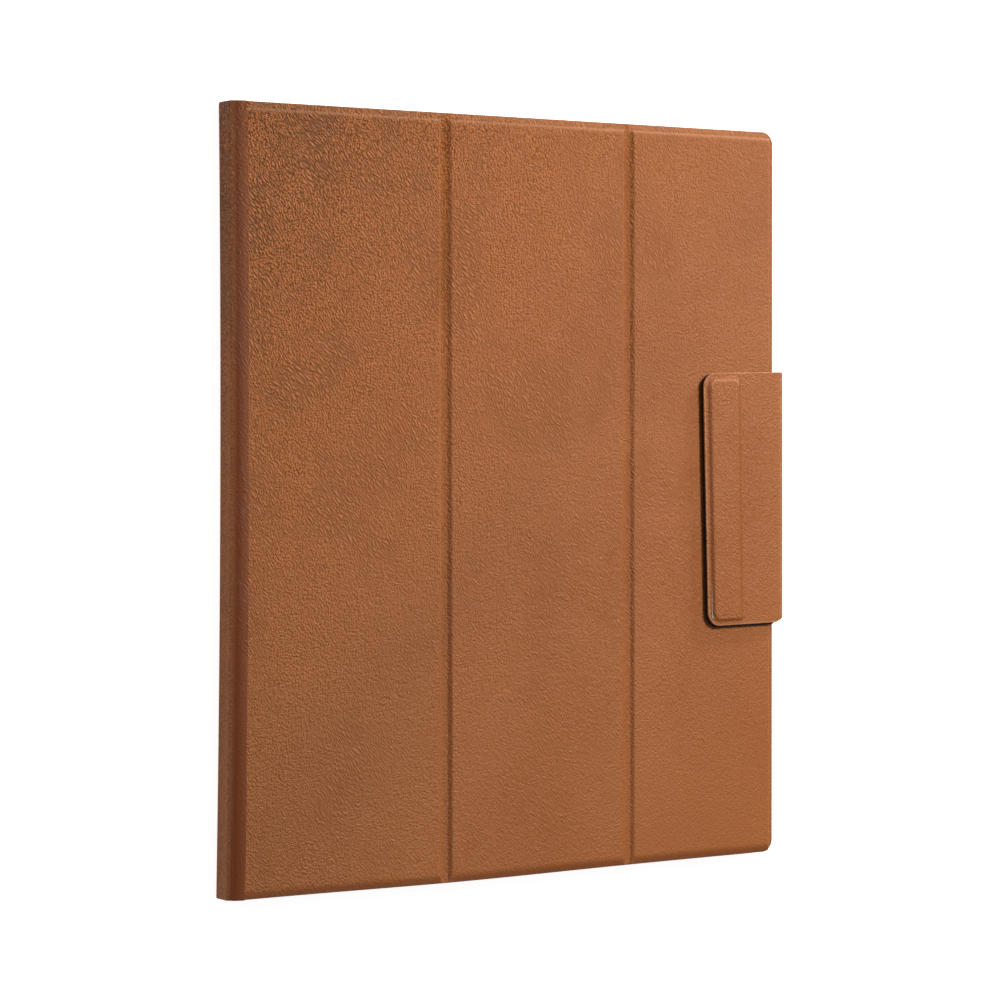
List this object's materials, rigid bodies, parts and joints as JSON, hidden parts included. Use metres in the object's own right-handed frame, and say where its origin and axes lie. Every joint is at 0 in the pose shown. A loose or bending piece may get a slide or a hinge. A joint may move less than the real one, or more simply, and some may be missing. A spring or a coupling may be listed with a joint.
{
  "type": "e-reader in a folio cover",
  "caption": "Slim ten-inch e-paper reader closed inside a tan leather-look tri-fold folio whose magnetic flap wraps from the back over the free edge.",
  "frame": {"origin": "middle of the closed folio's footprint, on the back cover's outer face", "axes": "+X from the spine to the closing flap, +Y to the head of the reader, +Z out of the front cover"},
  "size_m": [0.2002, 0.23, 0.0144],
  "materials": {
    "tan_leather": "fine-grained semi-matt artificial leather",
    "microfibre": "short-napped microfibre lining",
    "stiffener_board": "pressed fibre board",
    "plated_steel": "nickel plated",
    "graphite_aluminium": "bead-blasted, graphite anodised",
    "magnesium": "cast and machined",
    "black_plastic": "moulded, fine texture",
    "white_plastic": "moulded",
    "clear_plastic": "polished light guide",
    "front_glass": "etched anti-glare glass with a dark border",
    "e_paper": "matt electronic paper",
    "circuit_board": "solder mask",
    "flex_circuit": "polyimide film",
    "battery_foil": "laminated pouch foil"
  },
  "bodies": {
    "back_cover": {"back_leather": "tan_leather", "back_board": "stiffener_board", "back_lining": "microfibre", "back_magnets": "plated_steel", "spine_back_fold": "tan_leather", "flap_hinge_strip": "tan_leather"},
    "spine": {"spine_leather": "tan_leather", "spine_board": "stiffener_board", "spine_lining": "microfibre", "spine_front_fold": "tan_leather"},
    "panel_1": {"panel_1_leather": "tan_leather", "panel_1_board": "stiffener_board", "panel_1_lining": "microfibre", "wake_magnet": "plated_steel", "fold_strip_1": "tan_leather"},
    "panel_2": {"panel_2_leather": "tan_leather", "panel_2_board": "stiffener_board", "panel_2_lining": "microfibre", "fold_strip_2": "tan_leather"},
    "panel_3": {"panel_3_leather": "tan_leather", "panel_3_board": "stiffener_board", "panel_3_lining": "microfibre", "closure_steel": "plated_steel"},
    "gusset": {"gusset_leather": "tan_leather", "gusset_lining": "microfibre", "flap_bend_strip": "tan_leather"},
    "tongue": {"tongue_leather": "tan_leather", "tongue_board": "stiffener_board", "tongue_lining": "microfibre", "tongue_magnets": "plated_steel"},
    "reader": {"rear_housing": "graphite_aluminium", "mid_frame": "magnesium", "display_frame": "black_plastic", "frame_screws": "plated_steel", "front_glass": "front_glass", "light_guide": "clear_plastic", "paper_panel": "e_paper", "pen_digitizer": "circuit_board", "front_light_leds": "white_plastic", "display_flex": "flex_circuit", "main_board": "circuit_board", "battery": "battery_foil", "board_shield": "plated_steel", "board_chips": "black_plastic", "hall_sensor": "black_plastic", "microphone": "plated_steel", "wireless_antenna": "flex_circuit", "speakers": "black_plastic", "device_magnets": "plated_steel", "usb_socket": "plated_steel", "card_socket": "plated_steel", "button_switch": "black_plastic"},
    "power_button": {"power_button": "graphite_aluminium"},
    "card_tray": {"card_tray": "graphite_aluminium"}
  },
  "joints": [
    {"name": "spine_hinge", "type": "hinge", "parent": "back_cover", "child": "spine", "pos_m": [-0.0988, 0, 0.0013], "axis": [0, -1, 0], "range_deg": [0, 180], "deforming": ["spine_back_fold"]},
    {"name": "cover_hinge", "type": "hinge", "parent": "spine", "child": "panel_1", "pos_m": [-0.0988, 0, 0.0099], "axis": [0, -1, 0], "range_deg": [0, 180], "deforming": ["spine_front_fold"]},
    {"name": "fold_1", "type": "hinge", "parent": "panel_1", "child": "panel_2", "pos_m": [-0.0282, 0, 0.0104], "axis": [0, 1, 0], "range_deg": [-130, 0], "deforming": ["fold_strip_1"]},
    {"name": "fold_2", "type": "hinge", "parent": "panel_2", "child": "panel_3", "pos_m": [0.0391, 0, 0.0104], "axis": [0, 1, 0], "range_deg": [-105, 0], "deforming": ["fold_strip_2"]},
    {"name": "flap_hinge", "type": "hinge", "parent": "back_cover", "child": "gusset", "pos_m": [0.0995, 0, 0.0016], "axis": [0, 1, 0], "range_deg": [0, 90], "deforming": ["flap_hinge_strip"]},
    {"name": "tongue_hinge", "type": "hinge", "parent": "gusset", "child": "tongue", "pos_m": [0.09834, 0, 0.01164], "axis": [0, 1, 0], "range_deg": [0, 90], "deforming": ["flap_bend_strip"]},
    {"name": "reader_slide", "type": "slide", "parent": "back_cover", "child": "reader", "axis": [0, 1, 0], "range_m": [0, 0.235]},
    {"name": "power_button_press", "type": "slide", "parent": "reader", "child": "power_button", "axis": [0, -1, 0], "range_m": [0, 0.0003], "stiffness_N_per_m": 3000, "springref_m": -0.0002},
    {"name": "card_tray_slide", "type": "slide", "parent": "reader", "child": "card_tray", "axis": [0, -1, 0], "range_m": [0, 0.016]}
  ],
  "couplings": [
    {"joint": "cover_hinge", "follows": "spine_hinge", "ratio": 1},
    {"joint": "tongue_hinge", "follows": "flap_hinge", "ratio": 1}
  ]
}
